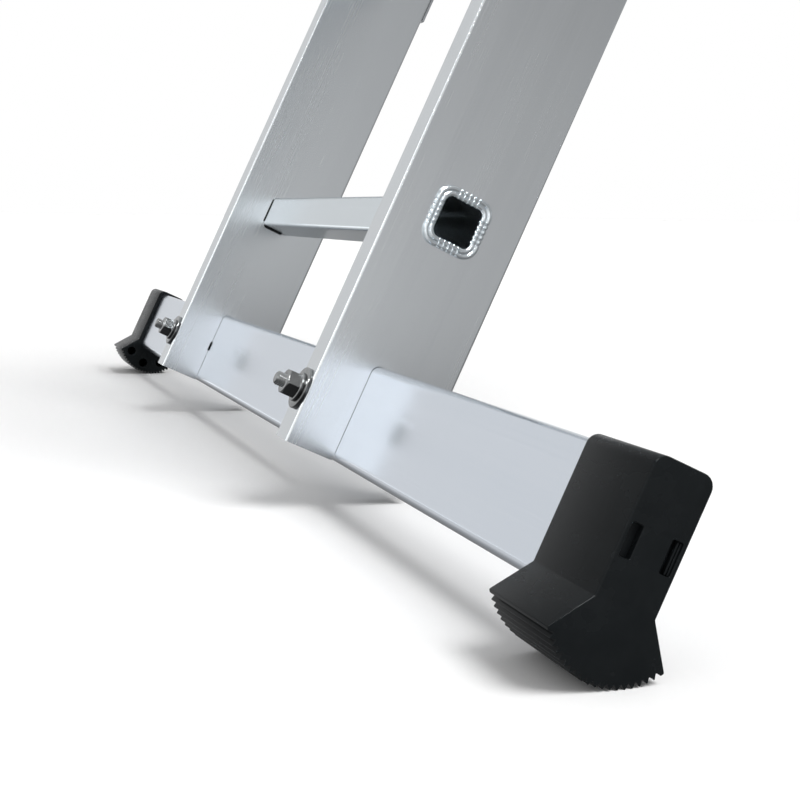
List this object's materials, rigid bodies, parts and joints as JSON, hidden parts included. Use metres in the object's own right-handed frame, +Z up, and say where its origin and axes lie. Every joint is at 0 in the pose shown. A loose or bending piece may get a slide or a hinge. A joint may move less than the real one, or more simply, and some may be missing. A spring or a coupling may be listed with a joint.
{
  "type": "extension ladder",
  "caption": "Two-section aluminium extension ladder leaning at its working angle, with a bolted stabiliser bar, toothed fan-shaped feet, sliding fly section and sprung rung locks.",
  "frame": {"origin": "on the floor, midway between the lines where the two feet touch it", "axes": "+Z up, +X across the ladder towards the climber's right, +Y horizontally from the climber's side towards the wall that the ladder leans on"},
  "size_m": [1.248, 1.0543, 2.1407],
  "materials": {
    "stile_aluminium": "satin, extruded",
    "rung_aluminium": "satin, brushed along its length",
    "bar_aluminium": "smooth satin",
    "foot_rubber": "matt charcoal",
    "liner_plastic": "matt",
    "cap_plastic": "fine grain",
    "rivet_aluminium": "bright",
    "zinc_steel": "bright zinc plate",
    "bracket_steel": "zinc-plated pressed sheet",
    "lock_steel": "zinc-plated forging",
    "spring_steel": "oiled wire"
  },
  "bodies": {
    "base": {"base_rung_1": "rung_aluminium", "base_rung_2": "rung_aluminium", "base_rung_3": "rung_aluminium", "base_rung_4": "rung_aluminium", "base_rung_5": "rung_aluminium", "base_rung_6": "rung_aluminium", "base_rung_7": "rung_aluminium", "base_rung_8": "rung_aluminium", "base_stile_left": "stile_aluminium", "base_stile_right": "stile_aluminium", "base_top_cap_left": "cap_plastic", "base_top_cap_right": "cap_plastic", "fly_stops": "cap_plastic", "foot_cap_left": "foot_rubber", "foot_cap_right": "foot_rubber", "guide_bracket_left": "bracket_steel", "guide_bracket_right": "bracket_steel", "guide_liner_left": "liner_plastic", "guide_liner_right": "liner_plastic", "guide_rivets": "rivet_aluminium", "large_washers": "zinc_steel", "lock_nuts": "zinc_steel", "rear_washers": "zinc_steel", "small_washers": "zinc_steel", "spacer_sleeves": "zinc_steel", "stabiliser_bar": "bar_aluminium", "stabiliser_bolts": "zinc_steel", "stop_rivets": "rivet_aluminium"},
    "fly": {"fly_foot_cap_left": "cap_plastic", "fly_foot_cap_right": "cap_plastic", "fly_rung_1": "rung_aluminium", "fly_rung_2": "rung_aluminium", "fly_rung_3": "rung_aluminium", "fly_rung_4": "rung_aluminium", "fly_rung_5": "rung_aluminium", "fly_rung_6": "rung_aluminium", "fly_stile_left": "stile_aluminium", "fly_stile_right": "stile_aluminium", "fly_top_cap_left": "cap_plastic", "fly_top_cap_right": "cap_plastic", "housing_rivets": "rivet_aluminium", "lock_housing_left": "bracket_steel", "lock_housing_right": "bracket_steel", "lock_pin_left": "zinc_steel", "lock_pin_right": "zinc_steel", "lock_spring_left": "spring_steel", "lock_spring_right": "spring_steel", "lower_guide_left": "bracket_steel", "lower_guide_liner_left": "liner_plastic", "lower_guide_liner_right": "liner_plastic", "lower_guide_right": "bracket_steel", "strap_rivets": "rivet_aluminium"},
    "lock_right": {"rung_lock_right": "lock_steel"},
    "lock_left": {"rung_lock_left": "lock_steel"}
  },
  "joints": [
    {"name": "fly_slide", "type": "slide", "parent": "base", "child": "fly", "axis": [0, 0.4226, 0.9063], "range_m": [0, 1.12]},
    {"name": "lock_right_pivot", "type": "hinge", "parent": "fly", "child": "lock_right", "pos_m": [0.206, 0.14377, 0.53364], "axis": [1, 0, 0], "range_deg": [0, 55], "stiffness_Nm_per_rad": 0.12, "springref_deg": -34.38},
    {"name": "lock_left_pivot", "type": "hinge", "parent": "fly", "child": "lock_left", "pos_m": [-0.206, 0.14377, 0.53364], "axis": [1, 0, 0], "range_deg": [0, 55], "stiffness_Nm_per_rad": 0.12, "springref_deg": -34.38}
  ]
}
